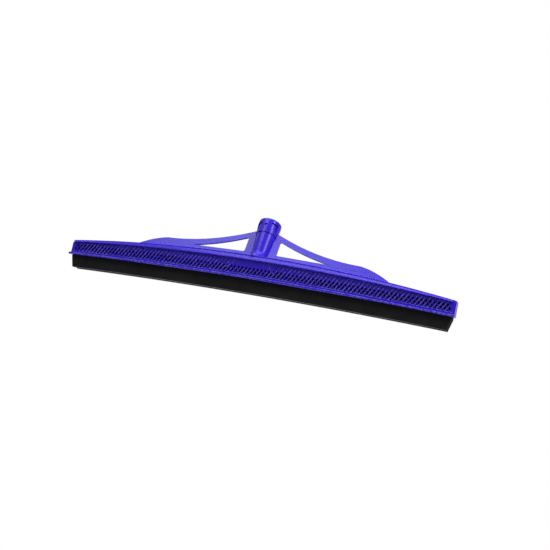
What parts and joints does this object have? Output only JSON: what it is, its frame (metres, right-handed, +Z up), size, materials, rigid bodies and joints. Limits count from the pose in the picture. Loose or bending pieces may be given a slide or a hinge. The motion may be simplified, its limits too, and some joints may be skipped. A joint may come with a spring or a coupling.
{
  "type": "floor squeegee head",
  "caption": "Arched plastic floor squeegee head with pierced grilles, twin rubber strips that flex and a leaning socket for a round handle, braced by open wings.",
  "frame": {"origin": "on the floor, under the middle of the head's bounding box", "axes": "+X along the head, +Y to the side that the handle socket leans to, +Z up"},
  "size_m": [0.55, 0.0614, 0.1148],
  "materials": {
    "head_plastic": "satin moulded polypropylene",
    "collar_plastic": "satin moulded polypropylene",
    "strip_rubber": "fine-celled black rubber with a cut edge",
    "screw_steel": "zinc plated"
  },
  "bodies": {
    "head": {"beam_core": "head_plastic", "front_grille": "head_plastic", "rear_grille": "head_plastic", "handle_bracket": "head_plastic", "socket_collar": "collar_plastic", "front_strip_root": "strip_rubber", "rear_strip_root": "strip_rubber", "clamp_screws": "screw_steel", "saddle_screws": "screw_steel"},
    "front_lip": {"front_strip_lip": "strip_rubber"},
    "rear_lip": {"rear_strip_lip": "strip_rubber"}
  },
  "joints": [
    {"name": "front_lip_flex", "type": "hinge", "parent": "head", "child": "front_lip", "pos_m": [0, -0.0213, 0.0155], "axis": [1, 0, 0], "range_deg": [-28, 28], "stiffness_Nm_per_rad": 1},
    {"name": "rear_lip_flex", "type": "hinge", "parent": "head", "child": "rear_lip", "pos_m": [0, -0.0091, 0.0155], "axis": [1, 0, 0], "range_deg": [-28, 28], "stiffness_Nm_per_rad": 1}
  ],
  "couplings": [
    {"joint": "rear_lip_flex", "follows": "front_lip_flex", "ratio": 1}
  ]
}
